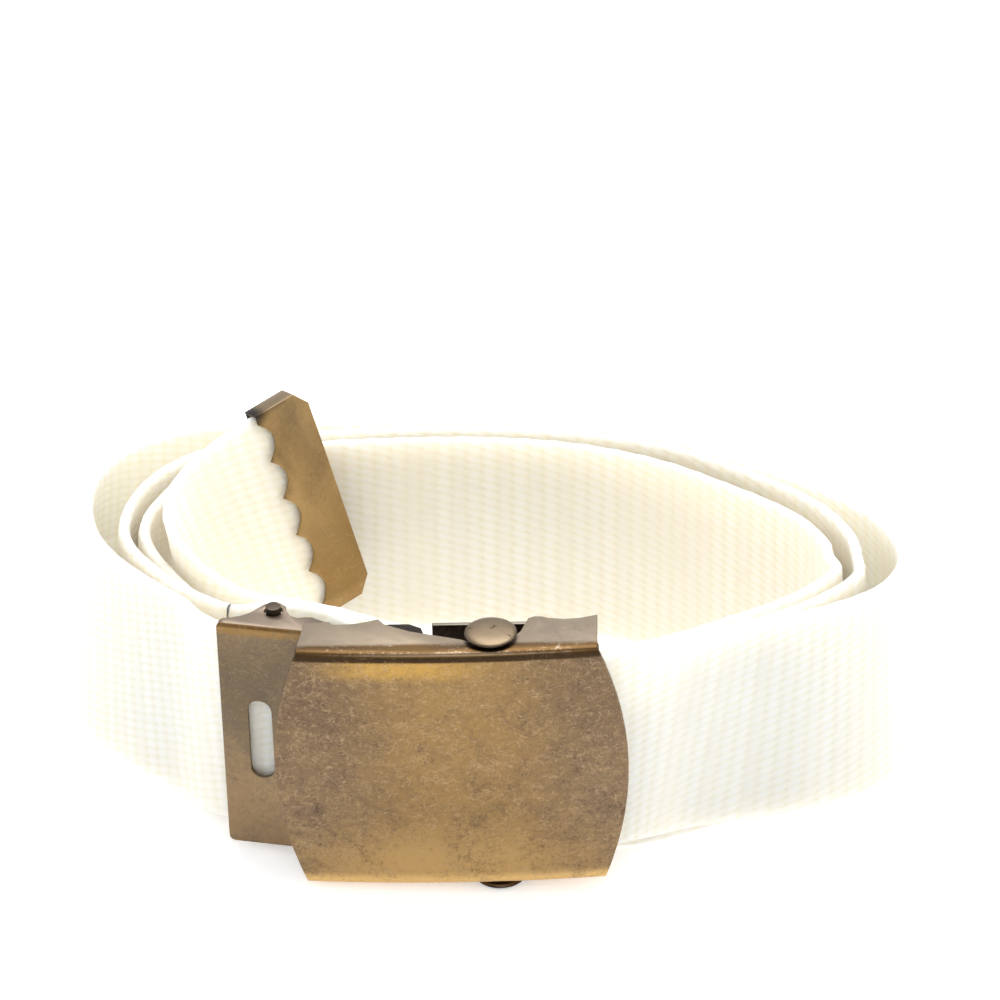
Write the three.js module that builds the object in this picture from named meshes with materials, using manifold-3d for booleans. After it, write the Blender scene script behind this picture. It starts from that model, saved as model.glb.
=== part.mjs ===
// A cotton web belt coiled on edge, with a sheet-metal friction buckle and a scalloped strap tip.
// Units are millimetres and +Z is up. The buckle's face looks along -Y, and the strap runs from the
// buckle's left end clockwise, seen from above: three turns and a free tail that ends in the tip.

import * as THREE from 'three';
import { mergeVertices } from 'three/addons/utils/BufferGeometryUtils.js';
import Module from 'manifold-3d';

const wasm = await Module();
wasm.setup();

// Driving sizes
const seatGap = 0.3;            // clearance left between neighbouring pieces
const deg = Math.PI / 180;

const webWidth = 38;
const webThick = 2.0;
const webCorner = 0.45;         // chamfer along the strap's four long edges
const coilCentre = { x: 1, y: 44 };
const stationStep = 3.2;        // length of strap between two sections

const faceWidth = 57;           // across the bulging sides
const faceHeight = 45.4;
const cornerX = 24.1;           // half the width at the face's four corners
const sheet = 0.8;              // thickness of the buckle's sheet metal
const faceBow = 1.5;            // how far the middle of the face stands forward of its ends
const foldRadius = 1.2;         // outer radius of the two folds

const barX = 7;                 // lock bar: middle of its shaft
const barY = 3.55;
const barRadius = 1.4;
const barHeadRadius = 4.3;
const barHeadThick = 1.0;
const barDrop = 0.6;            // how much longer the bar is than the face needs: it has slid down by that
const buckleLean = 2.0 * deg;   // its top tips to the left
const buckleTurn = 3.8 * deg;   // its left end stands nearer than its right end
const bucklePlace = { x: 0.2, y: -1.25 };

const backPlate = { left: -2.6, right: 16.4, front: 8.5, thick: 0.8 };

const innerHalf = faceHeight / 2 - sheet - seatGap;    // half height that fits between the flanges
const bracket = { x: -23.4, y: 7.6, turn: 12, left: -14.4, right: 2.0, corner: 1.2 };
const slot = { x: -8.0, z: -0.8, width: 4.0, height: 15.2 };
const pin = { x: -6.0, y: sheet + webThick + 2 * seatGap + 1.25, radius: 1.25, proud: 1.0 };

const tip = { depth: 10.1, wall: 0.45, floor: 2.2, toothDepth: 2.1, toothPitch: 7.2, teeth: 5, chamfer: 2.8 };
const tipLength = webWidth + 2 * (seatGap + tip.wall);
const tipThick = webThick + 2 * (seatGap + tip.wall);

// Colours and finishes
const cottonCream = new THREE.MeshStandardMaterial({ color: '#f4efe2', roughness: 0.92, metalness: 0 });
const antiqueBrass = new THREE.MeshStandardMaterial({ color: '#98774c', roughness: 0.42, metalness: 1 });
const wornBrass = new THREE.MeshStandardMaterial({ color: '#86704f', roughness: 0.45, metalness: 1 });
const tipBrass = new THREE.MeshStandardMaterial({ color: '#ad8b5a', roughness: 0.4, metalness: 1 });
const greySteel = new THREE.MeshStandardMaterial({ color: '#a9a29a', roughness: 0.45, metalness: 1 });
const darkSteel = new THREE.MeshStandardMaterial({ color: '#4a4038', roughness: 0.4, metalness: 1 });

// The strap's turns: a row for each bearing, counted in degrees clockwise from the front. The radius
// is that of the outer turn's middle line; second and third say how far each next turn runs inside
// the one before; lean is how far the wall's top tips towards the inside, in degrees; lift is how
// high the outer turn's lower edge runs.
const turnRows = [
  { bearing: 62, radius: 53.4, second: 2.8, third: 2.4, lean: 1.0, lift: 2.6 },
  { bearing: 75, radius: 58.9, second: 3.2, third: 2.8, lean: 2.6, lift: 1.1 },
  { bearing: 84, radius: 63.9, second: 4.5, third: 3.3, lean: 4.0, lift: 0.3 },
  { bearing: 91, radius: 66.9, second: 6.2, third: 3.9, lean: 4.8, lift: 0 },
  { bearing: 98, radius: 68.6, second: 8.0, third: 4.4, lean: 4.9, lift: 0 },
  { bearing: 105, radius: 68.5, second: 8.9, third: 4.3, lean: 4.6, lift: 0 },
  { bearing: 112, radius: 65.8, second: 8.5, third: 3.7, lean: 3.8, lift: 0 },
  { bearing: 120, radius: 60.2, second: 7.1, third: 3.2, lean: 2.4, lift: 0 },
  { bearing: 130, radius: 51.4, second: 4.8, third: 3.1, lean: 0.9, lift: 0 },
  { bearing: 142, radius: 43.2, second: 3.0, third: 3.2, lean: 0, lift: 0 },
  { bearing: 158, radius: 38.2, second: 2.4, third: 3.3, lean: 0, lift: 0 },
  { bearing: 180, radius: 36.7, second: 2.4, third: 3.4, lean: 0, lift: 0 },
  { bearing: 203, radius: 39.4, second: 2.4, third: 3.9, lean: 0, lift: 0 },
  { bearing: 222, radius: 44.9, second: 2.4, third: 5.0, lean: 0, lift: 0 },
  { bearing: 238, radius: 51.4, second: 2.6, third: 5.5, lean: 0.5, lift: 0 },
  { bearing: 250, radius: 59.9, second: 3.9, third: 5.3, lean: 1.6, lift: 0 },
  { bearing: 259, radius: 66.9, second: 6.2, third: 4.9, lean: 2.8, lift: 0 },
  { bearing: 268, radius: 70.6, second: 7.5, third: 4.6, lean: 3.8, lift: 0 },
  { bearing: 276, radius: 68.4, second: 5.5, third: 4.0, lean: 4.0, lift: 0 },
  { bearing: 286, radius: 59.6, second: 3.3, third: 3.0, lean: 3.0, lift: 0.5 },
  { bearing: 297, radius: 51.0, second: 2.4, third: 2.5, lean: 1.4, lift: 1.7 },
];

// The stretches between the turns, in plan, with the height of the strap's lower edge
const fixedEndRows = [
  { x: -26.3, y: 7.3, lift: 4.6, lean: -0.4 },
  { x: -31.3, y: 8.05, lift: 4.7, lean: -0.4 },
  { x: -36.2, y: 9.05, lift: 4.6, lean: -0.4 },
  { x: -40.7, y: 12.3, lift: 3.8, lean: 0 },
];
const throughBuckleRows = [
  { x: 38.2, y: 15.2, lift: 3.2 },
  { x: 31.5, y: 9.8, lift: 4.6 },
  { x: 24.3, y: 5.35, lift: 5.0 },
  { x: 17.0, y: 2.3, lift: 4.7 },
  { x: 9.1, y: 0.2, lift: 4.3 },
  { x: 3.1, y: 0.35, lift: 4.0 },
  { x: -2.8, y: 1.1, lift: 4.4 },
  { x: -8.2, y: 3.4, lift: 4.6 },
  { x: -13.0, y: 7.9, lift: 4.6 },
  { x: -17.6, y: 12.5, lift: 4.4 },
  { x: -23.2, y: 16.2, lift: 3.9 },
  { x: -30.5, y: 17.95, lift: 3.0 },
  { x: -37.5, y: 18.4, lift: 2.1 },
];
const behindBuckleRows = [
  { x: 36.5, y: 17.2, lift: 0 },
  { x: 28.5, y: 13.3, lift: 0 },
  { x: 17.5, y: 11.8, lift: 0 },
  { x: 6.0, y: 11.9, lift: 0 },
  { x: -3.0, y: 13.0, lift: 0 },
  { x: -11.0, y: 15.6, lift: 0 },
  { x: -20.0, y: 18.9, lift: 0 },
  { x: -29.5, y: 20.4, lift: 0 },
  { x: -36.8, y: 20.9, lift: 0 },
];
const innermostRows = [
  { x: 35.5, y: 19.9, lift: 0, lean: 0 },
  { x: 27.8, y: 16.0, lift: 0, lean: 0 },
  { x: 17.0, y: 14.4, lift: 0, lean: 0 },
  { x: 6.0, y: 14.7, lift: 0, lean: 0 },
  { x: -4.0, y: 16.2, lift: 0, lean: 0 },
  { x: -12.0, y: 18.7, lift: 0.1, lean: 0 },
  { x: -20.6, y: 21.7, lift: 0.3, lean: 0 },
  { x: -29.4, y: 23.3, lift: 0.7, lean: 0 },
  { x: -36.2, y: 24.2, lift: 1.2, lean: 0 },
  { x: -42.8, y: 28.6, lift: 2.2, lean: 1 },
  { x: -46.8, y: 34.6, lift: 3.8, lean: 0 },
  { x: -47.8, y: 41.0, lift: 5.6, lean: -3 },
  { x: -45.6, y: 47.0, lift: 7.6, lean: -7 },
  { x: -41.2, y: 52.2, lift: 9.6, lean: -12 },
  { x: -36.5, y: 56.7, lift: 11.3, lean: -13.8 },
  { x: -32.0, y: 60.9, lift: 12.4, lean: -13.8 },
  { x: -28.1, y: 64.4, lift: 13.3, lean: -13.8 },
];

// Shared helpers

const smoothMix = (a, b, t) => a + (b - a) * (3 - 2 * t) * t * t;

const outlineShape = (rows) => new THREE.Shape(rows.map(([x, y]) => new THREE.Vector2(x, y)));

// A plate in the X-Z plane, extruded along Y from the given front
function uprightPlate(shape, front, thick, curveSegments = 12) {
  const geometry = new THREE.ExtrudeGeometry(shape, { depth: thick, bevelEnabled: false, curveSegments });
  return geometry.rotateX(Math.PI / 2).translate(0, front + thick, 0);
}

// A plate in the X-Y plane, extruded along Z from the given bottom
function levelPlate(shape, bottom, thick, curveSegments = 12) {
  const geometry = new THREE.ExtrudeGeometry(shape, { depth: thick, bevelEnabled: false, curveSegments });
  return geometry.translate(0, 0, bottom);
}

function toSolid(geometry) {
  const bare = geometry.clone();
  bare.deleteAttribute('normal');
  bare.deleteAttribute('uv');
  const merged = mergeVertices(bare, 1e-4);
  const corners = [];
  for (let i = 0; i < merged.index.count; i += 3) {
    const [a, b, c] = merged.index.array.slice(i, i + 3);
    if (a !== b && b !== c && c !== a) corners.push(a, b, c);
  }
  return new wasm.Manifold(new wasm.Mesh({
    numProp: 3,
    vertProperties: Float32Array.from(merged.attributes.position.array),
    triVerts: Uint32Array.from(corners),
  }));
}

function toGeometry(solid) {
  const mesh = solid.getMesh();
  const geometry = new THREE.BufferGeometry();
  geometry.setAttribute('position', new THREE.BufferAttribute(Float32Array.from(mesh.vertProperties), 3));
  geometry.setIndex(new THREE.BufferAttribute(Uint32Array.from(mesh.triVerts), 1));
  geometry.computeVertexNormals();
  return geometry;
}

const join = (...parts) => toGeometry(wasm.Manifold.union(parts.map(toSolid)));
const cut = (body, ...tools) => toGeometry(toSolid(body).subtract(wasm.Manifold.union(tools.map(toSolid))));
const common = (...parts) => toGeometry(wasm.Manifold.intersection(parts.map(toSolid)));

function addPiece(group, name, geometry, material) {
  const mesh = new THREE.Mesh(geometry, material);
  mesh.name = name;
  group.add(mesh);
  return mesh;
}

// The strap's route

const planPoint = (bearing, radius) => new THREE.Vector3(
  coilCentre.x - radius * Math.sin(bearing * deg),
  coilCentre.y - radius * Math.cos(bearing * deg),
  0,
);

// Control points of one turn: the outer turn's own, or those of a turn that runs inside it
function turnPoints(inset, lift) {
  const outer = new THREE.CatmullRomCurve3(turnRows.map((row) => planPoint(row.bearing, row.radius)));
  return turnRows.map((row, i) => {
    const along = outer.getTangent(i / (turnRows.length - 1));
    const inward = new THREE.Vector3(along.y, -along.x, 0);
    const at = outer.points[i].clone().addScaledVector(inward, inset(row));
    at.z = lift(row);
    return { at, lean: row.lean };
  });
}

const stretchPoints = (rows) => rows.map(({ x, y, lift, lean = 0 }) => (
  { at: new THREE.Vector3(x, y, lift), lean }));

function strapFrames() {
  const controls = [
    ...stretchPoints(fixedEndRows),
    ...turnPoints(() => 0, (row) => row.lift),
    ...stretchPoints(throughBuckleRows),
    ...turnPoints((row) => row.second, (row) => (row.bearing < 180 ? row.lift : 0)),
    ...stretchPoints(behindBuckleRows),
    ...turnPoints((row) => row.second + row.third, () => 0),
    ...stretchPoints(innermostRows),
  ];
  const lowerEdge = new THREE.CatmullRomCurve3(controls.map((control) => control.at));
  lowerEdge.arcLengthDivisions = 4000;
  const count = Math.round(lowerEdge.getLength() / stationStep);
  const middles = [];
  for (let i = 0; i <= count; i += 1) {
    const t = lowerEdge.getUtoTmapping(i / count);
    const place = t * (controls.length - 1);
    const row = Math.min(Math.floor(place), controls.length - 2);
    const lean = smoothMix(controls[row].lean, controls[row + 1].lean, place - row) * deg;
    const heading = lowerEdge.getTangent(t);
    const middle = lowerEdge.getPoint(t);
    middle.z = Math.max(middle.z, 0) + webWidth / 2 * Math.cos(lean) + webThick / 2 * Math.abs(Math.sin(lean));
    middles.push({ middle, lean, inward: new THREE.Vector3(heading.y, -heading.x, 0).normalize() });
  }
  return middles.map(({ middle, lean, inward }, i) => {
    const before = middles[Math.max(i - 1, 0)].middle;
    const after = middles[Math.min(i + 1, count)].middle;
    const along = after.clone().sub(before).normalize();
    const up = new THREE.Vector3(0, 0, Math.cos(lean)).addScaledVector(inward, Math.sin(lean));
    up.addScaledVector(along, -up.dot(along)).normalize();
    return { middle, along, up, across: along.clone().cross(up) };
  });
}

// One closed body through a chamfered oblong section at every frame
function strapGeometry(frames) {
  const [t, w, c] = [webThick / 2, webWidth / 2, webCorner];
  const section = [
    [t, w - c], [t - c, w], [c - t, w], [-t, w - c], [-t, c - w], [c - t, -w], [t - c, -w], [t, c - w],
  ];
  const positions = [];
  for (const { middle, up, across } of frames) {
    for (const [a, b] of section) {
      const p = middle.clone().addScaledVector(across, a).addScaledVector(up, b);
      positions.push(p.x, p.y, p.z);
    }
  }
  const n = section.length;
  const faces = [];
  for (let i = 0; i < frames.length - 1; i += 1) {
    for (let k = 0; k < n; k += 1) {
      const [a, b] = [i * n + k, i * n + (k + 1) % n];
      faces.push(a, a + n, b, b, a + n, b + n);
    }
  }
  const last = (frames.length - 1) * n;
  for (let k = 1; k < n - 1; k += 1) {
    faces.push(0, k, k + 1, last, last + k + 1, last + k);
  }
  const geometry = new THREE.BufferGeometry();
  geometry.setAttribute('position', new THREE.Float32BufferAttribute(positions, 3));
  geometry.setIndex(faces);
  geometry.computeVertexNormals();
  return geometry;
}

// The buckle, about its own middle

const bowRadius = ((faceWidth / 2) ** 2 + faceBow ** 2) / (2 * faceBow);

// Y of the bowed face's front at a given X
const bowFront = (x) => bowRadius - faceBow - Math.sqrt(bowRadius ** 2 - x * x);

// Rear edge of the two flanges, from the left end: a short lobe, the ramp that the lock bar slides
// in, its pocket, and a lobe at the right with a shallow hollow
const flangeRearRows = [
  [-23.2, 7.7], [-22.7, 8.2], [-19.1, 8.4], [-18.4, 7.6], [-15.5, 7.7], [-13.1, 8.3], [-11.2, 9.0],
  [-10.2, 7.5], [-9.5, 7.1], [-5.9, 5.3], [-1.9, 4.1], [2.0, 2.9], [4.2, 1.9], [6.7, 1.4], [8.9, 1.9],
  [10.5, 3.2], [11.7, 4.8], [12.9, 8.6], [13.9, 9.1], [15.2, 9.0], [16.0, 8.6], [18.6, 8.2],
  [21.0, 8.4], [23.1, 9.0], [24.0, 9.3],
];

// Outline of the face from the front, with bulging sides
function barrelShape() {
  const halfHeight = faceHeight / 2;
  const bulge = faceWidth - cornerX;
  const shape = new THREE.Shape();
  shape.moveTo(-cornerX, -halfHeight);
  shape.lineTo(cornerX, -halfHeight);
  shape.quadraticCurveTo(bulge, 0, cornerX, halfHeight);
  shape.lineTo(-cornerX, halfHeight);
  shape.quadraticCurveTo(-bulge, 0, -cornerX, -halfHeight);
  return shape;
}

// Section of the folded sheet, with X to the rear and Y up: the face and its two flanges
function channelShape(depth) {
  const outer = faceHeight / 2;
  const inner = outer - sheet;
  const shape = new THREE.Shape();
  shape.moveTo(depth, outer);
  shape.lineTo(foldRadius, outer);
  shape.quadraticCurveTo(0, outer, 0, outer - foldRadius);
  shape.lineTo(0, foldRadius - outer);
  shape.quadraticCurveTo(0, -outer, foldRadius, -outer);
  shape.lineTo(depth, -outer);
  shape.lineTo(depth, -inner);
  shape.lineTo(sheet, -inner);
  shape.lineTo(sheet, inner);
  shape.lineTo(depth, inner);
  return shape;
}

// A section carried along X on the face's bow
function bowedPrism(shape, length) {
  const geometry = new THREE.ExtrudeGeometry(shape, { depth: length, bevelEnabled: false, steps: 16, curveSegments: 4 });
  const point = geometry.attributes.position;
  for (let i = 0; i < point.count; i += 1) {
    const x = point.getZ(i) - length / 2;
    point.setXYZ(i, x, point.getX(i) + bowFront(x), point.getY(i));
  }
  return geometry;
}

function facePlate() {
  const channel = bowedPrism(channelShape(12), faceWidth);
  const outline = uprightPlate(barrelShape(), -5, 20, 14);
  const [side, rear] = [faceWidth / 2 + 1, 2 * sheet];
  const plan = outlineShape([
    [-side, -5], [side, -5], [side, rear], [cornerX, rear], ...flangeRearRows.toReversed(),
    [-cornerX, rear], [-side, rear],
  ]);
  return common(channel, outline, levelPlate(plan, -faceHeight, 2 * faceHeight));
}

// A round shaft with a flat, round-edged head over each flange
function lockBar() {
  const head = (side) => {
    const reach = faceHeight / 2 + seatGap + (side < 0 ? barDrop : 0);
    const z = (height) => side * (reach + height);
    const edge = new THREE.Path();
    edge.moveTo(0, z(barHeadThick));
    edge.quadraticCurveTo(0.6 * barHeadRadius, z(barHeadThick), 0.8 * barHeadRadius, z(0.8 * barHeadThick));
    edge.quadraticCurveTo(barHeadRadius, z(0.65 * barHeadThick), barHeadRadius, z(0.35 * barHeadThick));
    edge.lineTo(0.9 * barHeadRadius, z(0));
    edge.lineTo(barRadius, z(0));
    return edge.getPoints(3);
  };
  const bar = new THREE.LatheGeometry([...head(-1), ...head(1).reverse()], 28);
  return join(bar.rotateX(Math.PI / 2).translate(barX, barY, 0));
}

function crossPlate() {
  const { left, right, front, thick } = backPlate;
  return new THREE.BoxGeometry(right - left, thick, 2 * innerHalf)
    .translate((left + right) / 2, front + thick / 2, 0);
}

// The end bracket lies about the right end of its plate, which runs left along -X

// Plan of an ear, from the plate's left end: an S-curved edge, the lobe that carries the pin, a
// round notch and the arm that reaches forward under the buckle's flange
const earRows = [
  [-14.4, 0], [-14.4, 1.0], [-12.6, 1.6], [-11.0, 2.3], [-9.6, 3.5], [-8.7, 4.9], [-7.9, 6.3], [-6.8, 7.0],
  [-5.4, 7.0], [-4.3, 6.2], [-3.8, 4.8], [-3.0, 3.8], [-1.8, 3.4], [-0.6, 3.8], [0.6, 4.0],
  [5.6, 2.0], [9.6, 2.6], [13.4, 4.3], [16.4, 4.9], [18.6, 4.2], [19.6, 2.2], [18.4, 0.2], [12.0, -2.2], [9.0, -4.6],
  [3.0, -4.2], [0, 0],
];

function roundedPlateShape({ left, right, corner }, halfHeight) {
  const shape = new THREE.Shape();
  shape.moveTo(right, halfHeight);
  shape.lineTo(left + corner, halfHeight);
  shape.quadraticCurveTo(left, halfHeight, left, halfHeight - corner);
  shape.lineTo(left, corner - halfHeight);
  shape.quadraticCurveTo(left, -halfHeight, left + corner, -halfHeight);
  shape.lineTo(right, -halfHeight);
  return shape;
}

function slotShape() {
  const half = slot.width / 2;
  const rise = slot.height / 2 - half;
  const shape = new THREE.Shape();
  shape.absarc(slot.x, slot.z + rise, half, 0, Math.PI, false);
  shape.absarc(slot.x, slot.z - rise, half, Math.PI, 2 * Math.PI, false);
  return shape;
}

function endBracket() {
  const outline = roundedPlateShape(bracket, innerHalf);
  const plate = uprightPlate(outline, 0, sheet, 6);
  const ears = [innerHalf - sheet, -innerHalf].map((bottom) => common(
    levelPlate(outlineShape(earRows.toReversed()), bottom, sheet),
    uprightPlate(roundedPlateShape({ ...bracket, right: 22 }, innerHalf), -10, 24, 6),
  ));
  const hole = new THREE.CylinderGeometry(pin.radius + seatGap, pin.radius + seatGap, 3 * innerHalf, 20)
    .rotateX(Math.PI / 2).translate(pin.x, pin.y, 0);
  return cut(join(plate, ...ears), uprightPlate(slotShape(), -1, sheet + 2, 10), hole);
}

function clampPin() {
  const length = 2 * (innerHalf + pin.proud);
  return new THREE.CylinderGeometry(pin.radius, pin.radius, length, 20)
    .rotateX(Math.PI / 2).translate(pin.x, pin.y, 0);
}

// The tip, about its own middle: X to its closed end, Y across the strap, Z up along its length

function tipShape() {
  const [u, w] = [tip.depth / 2, tipLength / 2];
  const shape = new THREE.Shape();
  shape.moveTo(u, -w + tip.chamfer);
  shape.lineTo(u, w - tip.chamfer);
  shape.lineTo(u - tip.chamfer * 0.8, w);
  shape.lineTo(-u, w);
  const first = tip.teeth * tip.toothPitch / 2;
  shape.lineTo(-u, first);
  for (let i = 0; i < tip.teeth; i += 1) {
    const z = first - i * tip.toothPitch;
    shape.quadraticCurveTo(-u + 2 * tip.toothDepth, z - tip.toothPitch / 2, -u, z - tip.toothPitch);
  }
  shape.lineTo(-u, -w);
  shape.lineTo(u - tip.chamfer * 0.8, -w);
  return shape;
}

function strapTip() {
  const block = uprightPlate(tipShape(), -tipThick / 2, tipThick, 6);
  const pocket = new THREE.BoxGeometry(tip.depth + 4, tipThick - 2 * tip.wall, tipLength - 2 * tip.wall)
    .translate(-2 - tip.floor, 0, 0);
  return cut(block, pocket);
}

// Assembly

const frames = strapFrames();

const buckle = new THREE.Group();
addPiece(buckle, 'face_plate', facePlate(), antiqueBrass);
addPiece(buckle, 'back_plate', crossPlate(), greySteel);
addPiece(buckle, 'lock_bar', lockBar(), darkSteel);

const bracketGroup = new THREE.Group();
bracketGroup.position.set(bracket.x, bracket.y, 0);
bracketGroup.rotation.z = -bracket.turn * deg;
addPiece(bracketGroup, 'end_bracket', endBracket(), wornBrass);
addPiece(bracketGroup, 'clamp_pin', clampPin(), darkSteel);
buckle.add(bracketGroup);

// The buckle leans to its left, is turned a little and stands on the lock bar's lower head
buckle.rotation.set(0, -buckleLean, buckleTurn, 'ZYX');
buckle.position.set(bucklePlace.x, bucklePlace.y, 0);
buckle.position.z = -new THREE.Box3().setFromObject(buckle, true).min.z;

// The tip closes over the strap's free end, in line with the strap's last steps
const [before, , within, , end] = frames.slice(-5);
const tipAlong = end.middle.clone().sub(before.middle).normalize();
const tipUp = within.up.clone().addScaledVector(tipAlong, -within.up.dot(tipAlong)).normalize();
const tipGroup = new THREE.Group();
tipGroup.setRotationFromMatrix(new THREE.Matrix4().makeBasis(tipAlong, tipUp.clone().cross(tipAlong), tipUp));
tipGroup.position.addVectors(before.middle, end.middle).multiplyScalar(0.5)
  .addScaledVector(tipAlong, 2 * stationStep + tip.floor + 2 * seatGap - tip.depth / 2);
addPiece(tipGroup, 'strap_tip', strapTip(), tipBrass);

const belt = new THREE.Group();
const pieces = new THREE.Group();
addPiece(pieces, 'web_strap', strapGeometry(frames), cottonCream);
pieces.add(buckle, tipGroup);
belt.add(pieces);

// The origin is on the floor, under the middle of the belt's outline
const outline = new THREE.Box3().setFromObject(pieces, true);
const middle = outline.getCenter(new THREE.Vector3());
pieces.position.set(-middle.x, -middle.y, 0);

export default belt;
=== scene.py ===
import math

import bmesh
import bpy
from mathutils import Euler, Matrix, Vector


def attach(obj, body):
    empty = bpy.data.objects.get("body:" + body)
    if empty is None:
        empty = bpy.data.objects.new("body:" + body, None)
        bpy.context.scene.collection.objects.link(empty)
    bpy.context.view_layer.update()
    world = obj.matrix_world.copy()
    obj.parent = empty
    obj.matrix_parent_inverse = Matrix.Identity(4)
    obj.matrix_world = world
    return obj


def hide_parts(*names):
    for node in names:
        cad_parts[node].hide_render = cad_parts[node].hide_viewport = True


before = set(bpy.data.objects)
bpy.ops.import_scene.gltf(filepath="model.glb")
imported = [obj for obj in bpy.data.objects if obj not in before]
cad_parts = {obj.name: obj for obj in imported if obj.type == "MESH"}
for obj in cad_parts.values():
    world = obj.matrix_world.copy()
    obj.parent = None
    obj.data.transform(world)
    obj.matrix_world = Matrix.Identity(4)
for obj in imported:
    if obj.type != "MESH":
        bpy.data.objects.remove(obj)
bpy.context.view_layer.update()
mm = 0.001


# Helpers used by every piece

def tone(hexText):
    # an sRGB hex value as the linear colour that a shader wants
    parts = [int(hexText[i:i + 2], 16) / 255 for i in (1, 3, 5)]
    return tuple(c / 12.92 if c <= 0.04045 else ((c + 0.055) / 1.055) ** 2.4 for c in parts) + (1.0,)


def addNode(tree, kind, links=None, **settings):
    # a link may be another node's socket or a plain value; stops fill a colour ramp
    node = tree.nodes.new(kind)
    stops = settings.pop("stops", None)
    for name, value in settings.items():
        setattr(node, name, value)
    for key, value in (links or {}).items():
        if isinstance(value, bpy.types.NodeSocket):
            tree.links.new(value, node.inputs[key])
        else:
            node.inputs[key].default_value = value
    if stops:
        marks = node.color_ramp.elements
        while len(marks) < len(stops):
            marks.new(0.5)
        for mark, (place, colour) in zip(marks, stops):
            mark.position, mark.color = place, colour
    return node


def newMaterial(name, **sockets):
    # sockets are the values that are the same all over the surface
    material = bpy.data.materials.new(name)
    material.use_nodes = True
    shader = material.node_tree.nodes["Principled BSDF"]
    for key, value in sockets.items():
        shader.inputs[key.replace("_", " ")].default_value = value
    return material, material.node_tree, shader


def activate(piece):
    if bpy.context.mode != "OBJECT":
        bpy.ops.object.mode_set(mode="OBJECT")
    bpy.ops.object.select_all(action="DESELECT")
    piece.select_set(True)
    bpy.context.view_layer.objects.active = piece


def belongs(piece, material, slotName, *nodeNames):
    piece.data.materials.clear()
    piece.data.materials.append(material)
    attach(piece, "root")
    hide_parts(*nodeNames)


# Studio: pale floor, white surroundings and soft lamps, so bright that the floor burns out

studio = {
    "surround": 0.86,        # overhead and behind
    "front": 0.26,           # share of it that comes from the camera's side
    "floorColour": "#f9f9f9",
    "floorGlow": 0.48,       # the table is lit from below as well
    "floorSize": 9.0,
    "lamps": [
        # name, place in metres, aim, width, watts
        ("backLamp", (0.0, 0.80, 1.60), (0.0, 0.0, 0.0), 1.2, 25),
        ("frontLamp", (0.15, -1.15, 1.25), (0.0, 0.0, 0.02), 0.6, 5.0),
        ("leftLamp", (-1.60, 0.10, 0.70), (0.0, 0.0, 0.02), 1.1, 5),
        ("rightLamp", (1.60, 0.25, 0.75), (0.0, 0.0, 0.02), 1.1, 7),
    ],
    "cameraPlace": (98.1, -1095.0, 776.8),
    "cameraTurn": 5.0,
    "cameraDown": 33.5,
    "lens": 290.2,
}


def makeStudio():
    world = bpy.data.worlds.new("softWhiteSurround")
    world.use_nodes = True
    bpy.context.scene.world = world
    background = world.node_tree.nodes["Background"]
    background.inputs["Color"].default_value = (1.0, 1.0, 1.0, 1.0)
    way = addNode(world.node_tree, "ShaderNodeTexCoord").outputs["Generated"]
    way = addNode(world.node_tree, "ShaderNodeSeparateXYZ", {"Vector": way})
    front = addNode(world.node_tree, "ShaderNodeMapRange",
                    {"Value": way.outputs["Y"], "From Min": -0.9, "From Max": 0.1,
                     "To Min": studio["front"] * studio["surround"], "To Max": studio["surround"]})
    world.node_tree.links.new(front.outputs[0], background.inputs["Strength"])
    bpy.ops.object.select_all(action="DESELECT")
    bpy.ops.mesh.primitive_plane_add(size=studio["floorSize"], location=(0, 0, 0))
    floor = bpy.context.object
    floor.name = "paleFloor"
    paper, tree, shader = newMaterial("paleLitAcrylic", Roughness=0.9, Emission_Color=tone("#ffffff"),
                                      Emission_Strength=studio["floorGlow"])
    place = addNode(tree, "ShaderNodeTexCoord").outputs["Object"]
    fibre = addNode(tree, "ShaderNodeTexNoise", {"Vector": place, "Scale": 900.0, "Detail": 2.0})
    pale = addNode(tree, "ShaderNodeValToRGB", {"Fac": fibre.outputs["Fac"]},
                   stops=[(0.3, tone("#f2f2f2")), (0.7, tone(studio["floorColour"]))])
    tree.links.new(pale.outputs["Color"], shader.inputs["Base Color"])
    floor.data.materials.append(paper)
    for name, place, aim, width, watts in studio["lamps"]:
        light = bpy.data.lights.new(name, "AREA")
        light.shape = "SQUARE"
        light.size = width
        light.energy = watts
        lamp = bpy.data.objects.new(name, light)
        lamp.location = place
        lamp.rotation_euler = (Vector(aim) - Vector(place)).to_track_quat("-Z", "Y").to_euler()
        bpy.context.collection.objects.link(lamp)
    lens = bpy.data.cameras.new("productCamera")
    lens.lens = studio["lens"]
    lens.sensor_width = 36
    lens.clip_start = 0.05
    lens.clip_end = 20
    camera = bpy.data.objects.new("productCamera", lens)
    camera.location = Vector(studio["cameraPlace"]) * mm
    camera.rotation_euler = Euler((math.radians(90 - studio["cameraDown"]), 0, math.radians(studio["cameraTurn"])))
    bpy.context.collection.objects.link(camera)
    bpy.context.scene.camera = camera
    bpy.context.scene.view_settings.view_transform = "Standard"
    print("studio ready")


# Strap: one length of webbing, rolled three times round; sizes in millimetres, angles in degrees

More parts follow.
